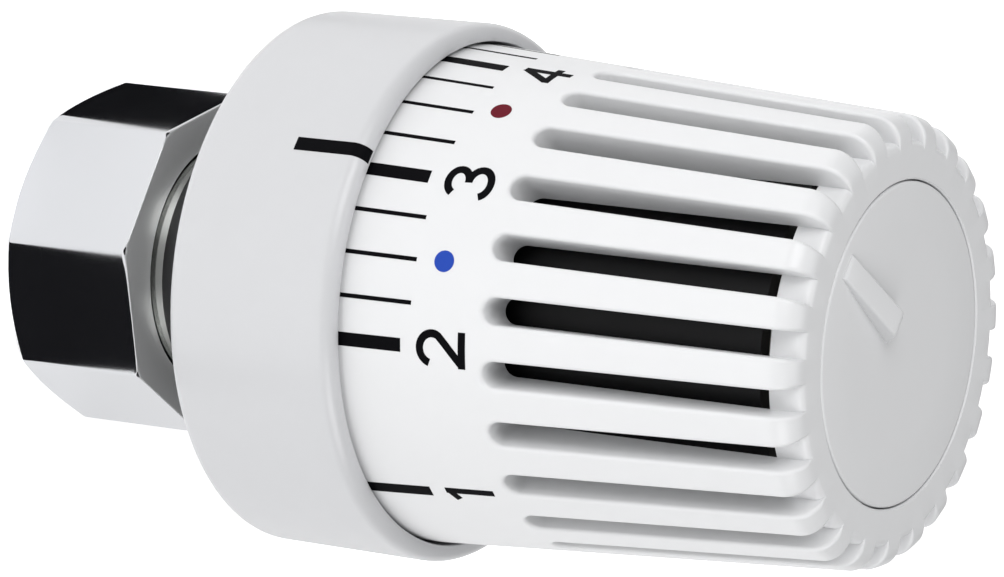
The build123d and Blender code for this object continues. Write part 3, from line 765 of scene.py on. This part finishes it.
def run(*corners):
    """A path of straight runs, each cut into short steps."""
    share = np.linspace(0, 1, 9)[:, None]
    legs = [np.array(a) + (np.array(b) - np.array(a)) * share for a, b in zip(corners, corners[1:])]
    return np.concatenate([legs[0]] + [leg[1:] for leg in legs[1:]])


def bow(middle, across, up, start_deg, end_deg, steps=22):
    """A path along an ellipse with half axes across and up."""
    sweep = np.radians(np.linspace(start_deg, end_deg, steps))
    return np.stack([middle[0] + across * np.cos(sweep), middle[1] + up * np.sin(sweep)], axis=-1)


# half the height and half the width of a numeral, to the middle of its stroke
top = numeral_height / 2 - numeral_stroke / 2
half = numeral_width / 2 - numeral_stroke / 2
numerals = {
    "1": [run((0.35, -top - numeral_stroke / 2), (0.35, top + numeral_stroke / 2)),
          run((0.35, top), (-0.9, top - 0.75))],
    "2": [np.concatenate([bow((0, top - half * 0.92), half, half * 0.92, 165, -28),
                          run((half * 0.80, 0.12), (-half, -top))[2:]]),
          run((-half - 0.3, -top), (half + 0.35, -top))],
    "3": [bow((-0.05, top * 0.5 + 0.06), half * 0.9, top * 0.5 - 0.06, 160, -90),
          bow((0, -top * 0.5 + 0.06), half, top * 0.5 + 0.06, 90, -165)],
    "4": [run((half * 0.45, -top - numeral_stroke / 2), (half * 0.45, top + 0.2)),
          run((half * 0.45, top + 0.1), (-half, -top * 0.42)),
          run((-half - 0.25, -top * 0.42), (half + 0.3, -top * 0.42))],
    "5": [run((half * 0.9, top), (-half * 0.75, top), (-half * 0.9, 0.15)),
          bow((-0.05, -top * 0.36), half, top * 0.64, 140, -150)],
    "0": [bow((0, 0), half, top, 0, 360, 44)],
}
frost = [run((-1.9, 0), (1.9, 0)), run((-0.95, -1.65), (0.95, 1.65)), run((-0.95, 1.65), (0.95, -1.65))]

black_strips = []
for number in (1, 2, 3, 4, 5):
    direction = radians(number_angle(number))
    black_strips.append(strip_of(skirt_curve(scale_low, bar_top), direction, bar_width))
    black_strips += [stroke(direction, path) for path in numerals[str(number)]]
for first in (2, 3, 4):
    for quarter in (0.25, 0.5, 0.75):
        direction = radians(number_angle(first + quarter))
        black_strips.append(strip_of(skirt_curve(scale_low, tick_top), direction, tick_width))
black_strips += [stroke(radians(frost_deg), path, frost_stroke) for path in frost]
black_strips += [stroke(radians(zero_deg), path) for path in numerals["0"]]
inked("scale_print", black_strips, ink_black, "knob")


def dot(centre_deg, height):
    """A printed dot: rings of points about its middle, with the last ring under the surface."""
    ring = np.array([0.001, 0.35, 0.7, 1.0, 1.0])[:, None] * dot_size / 2
    lift = np.array([ink_lift, ink_lift, ink_lift, ink_lift, -ink_sunk])[:, None]
    turn_about = np.linspace(0, 2 * pi, 33)
    z = height + ring * np.sin(turn_about)
    radius = knob_radius(z)
    return place(radius + lift, radians(centre_deg) + ring * np.cos(turn_about) / radius, z)


ink_red = material("ink_red", (0.13, 0.001, 0.011), 0.6, relief=0.003, specular=0.15)
ink_blue = material("ink_blue", (0.015, 0.06, 0.40), 0.6, relief=0.003, specular=0.15)
inked("red_dot", [dot(-109.7, collar_rim + 10.2)], ink_red, "knob")
inked("blue_dot", [dot(-68.9, collar_rim + 10.45)], ink_blue, "knob")


# ---------------------------------------------------------------- memory disc
# The white memory disc snaps into the knob's end and turns in it by hand. Its raised pointer
# rises towards the middle and ends in a steep face.
disc_r, disc_edge = 15.68, 0.3
disc_stem_r = 2.1
disc_under = knob_top - 1.75
disc_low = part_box("memory_disc")[0][2] / MM
pointer_half = 1.35
pointer_soft = 0.3
pointer_foot = -0.3
disc_grid = lathe_points([
    (0.0005, disc_low),
    (disc_stem_r - 0.2, disc_low),
    (disc_stem_r, disc_low + 0.2),
    (disc_stem_r, disc_under),
    (disc_r - 0.1, disc_under),
    (disc_r, disc_under + 0.1),
    arc((disc_r - disc_edge, knob_top - disc_edge), disc_edge, 0, 90),
    (disc_r * 0.6, knob_top),
    (disc_r * 0.3, knob_top),
    (0.0005, knob_top),
])


def pointer_points():
    """The pointer as rings from its outer end to its steep inner face, whose heights run straight
    between five knots. Each ring is an arch across the pointer, with a quarter round at each edge."""
    reach = np.array([14.4, 14.4, 14.2, 14.0, 12.0, 10.0, 8.0, 6.2, 4.8, 4.4, 4.15, 3.9, 2.2, 2.2])
    height = np.interp(reach, [2.2, 3.9, 4.3, 14.1, 14.4], [pointer_foot, 1.5, 1.63, 0.36, 0.16])
    height[0] = height[-1] = pointer_foot
    soft = np.minimum(pointer_soft, np.maximum(height, 0.02) * 0.9)[:, None]
    quarter = np.linspace(0, pi / 2, 6)
    edge_x = pointer_half - soft * (1 - np.cos(quarter))
    edge_z = height[:, None] - soft * (1 - np.sin(quarter))
    side = np.concatenate([np.full((len(reach), 1), pointer_half), edge_x], axis=1)
    rise_of = np.concatenate([np.full((len(reach), 1), pointer_foot), edge_z], axis=1)
    side = np.concatenate([-side, side[:, ::-1]], axis=1)
    rise_of = np.concatenate([rise_of, rise_of[:, ::-1]], axis=1)
    return sheet(side, -reach[:, None], knob_top + rise_of)


pointer_grid = pointer_points()
disc_cells = grid_cells(*disc_grid.shape[:2]).reshape(-1, 4)
pointer_cells = grid_cells(*pointer_grid.shape[:2]).reshape(-1, 4) + disc_grid.shape[0] * disc_grid.shape[1]
solid("disc_moulded", np.concatenate([disc_grid.reshape(-1, 3), pointer_grid.reshape(-1, 3)]),
      np.concatenate([disc_cells, pointer_cells]), white, "disc", "memory_disc")
